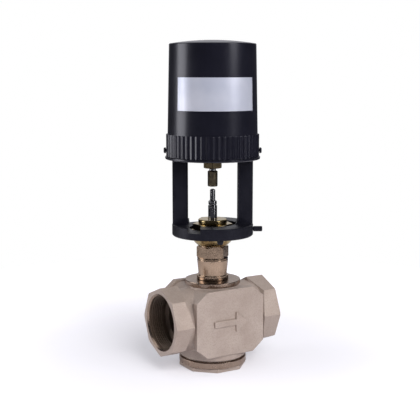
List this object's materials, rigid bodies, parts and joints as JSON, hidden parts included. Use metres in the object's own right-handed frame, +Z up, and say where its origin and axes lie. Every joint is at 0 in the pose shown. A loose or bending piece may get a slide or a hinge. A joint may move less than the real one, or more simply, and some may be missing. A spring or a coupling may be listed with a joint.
{
  "type": "zone valve",
  "caption": "Motorised two-way zone valve: bronze globe body with threaded ports, gland and stem, black yoke, and a round linear electric actuator.",
  "frame": {"origin": "centre of the bottom cap's underside, on the stem's axis, at the foot of the bounding box", "axes": "+X along the pipe axis, +Y to the rear, +Z up the stem"},
  "size_m": [0.132, 0.103, 0.3572],
  "materials": {
    "cast_bronze": "fine sand-cast bronze, satin",
    "machined_bronze": "turned bronze",
    "brass": "turned brass",
    "dull_brass": "dull knurled brass",
    "polished_steel": "polished",
    "steel": "plated steel",
    "black_metal": "satin black coat",
    "black_plastic": "satin black moulding",
    "white_plastic": "plain",
    "graphite": "braided packing",
    "rubber": "matt",
    "board_green": "solder mask",
    "terminal_green": "moulded"
  },
  "bodies": {
    "valve": {"valve_body": "cast_bronze", "bottom_cap": "cast_bronze", "bonnet": "machined_bronze", "bottom_cap_gasket": "machined_bronze", "yoke_flange": "brass", "yoke_washer": "brass", "yoke_nut": "brass", "gland_nut": "brass", "spindle_guide_nut": "brass", "stem_guide_bush": "brass", "plate_pillar_1": "brass", "plate_pillar_2": "brass", "plate_pillar_3": "brass", "board_standoff_1": "brass", "board_standoff_2": "brass", "board_standoff_3": "brass", "seat_ring": "steel", "cover_screw_left": "steel", "cover_screw_right": "steel", "base_screw_left": "steel", "base_screw_right": "steel", "gear_plate": "steel", "motor": "steel", "guide_rod": "steel", "switch_bracket": "steel", "yoke": "black_metal", "yoke_set_screw": "black_metal", "yoke_lug_screw": "black_metal", "cover": "black_plastic", "actuator_base": "black_plastic", "limit_switch_open": "black_plastic", "limit_switch_closed": "black_plastic", "thrust_bush": "white_plastic", "stem_packing": "graphite", "cable_grommet": "rubber", "circuit_board": "board_green", "terminal_block": "terminal_green"},
    "nut_gear": {"spindle_gear": "brass"},
    "drive": {"drive_spindle": "polished_steel", "stem_coupling": "dull_brass", "trip_arm": "steel"},
    "stem": {"valve_stem": "polished_steel", "stem_lock_nut": "polished_steel", "valve_plug": "steel", "plug_seal": "white_plastic", "plug_nut": "steel"},
    "idler": {"idler_gear": "brass"},
    "pinion": {"motor_pinion": "steel"}
  },
  "joints": [
    {"name": "stem_travel", "type": "slide", "parent": "valve", "child": "stem", "axis": [0, 0, -1], "range_m": [0, 0.016]},
    {"name": "spindle_travel", "type": "slide", "parent": "valve", "child": "drive", "axis": [0, 0, -1], "range_m": [0, 0.01601]},
    {"name": "nut_gear_turn", "type": "hinge", "parent": "valve", "child": "nut_gear", "pos_m": [0, 0, 0.24], "axis": [0, 0, 1], "range_deg": [0, 1440.5]},
    {"name": "idler_turn", "type": "hinge", "parent": "valve", "child": "idler", "pos_m": [-0.02434, 0.00473, 0.24], "axis": [0, 0, 1], "range_deg": [-6002, 0]},
    {"name": "pinion_turn", "type": "hinge", "parent": "valve", "child": "pinion", "pos_m": [-0.02112, -0.01338, 0.24], "axis": [0, 0, 1], "range_deg": [0, 21602]}
  ],
  "couplings": [
    {"joint": "spindle_travel", "follows": "stem_travel", "ratio": 1},
    {"joint": "nut_gear_turn", "follows": "stem_travel", "rad_per_m": 1570.8},
    {"joint": "idler_turn", "follows": "stem_travel", "rad_per_m": -6545},
    {"joint": "pinion_turn", "follows": "stem_travel", "rad_per_m": 23562}
  ]
}
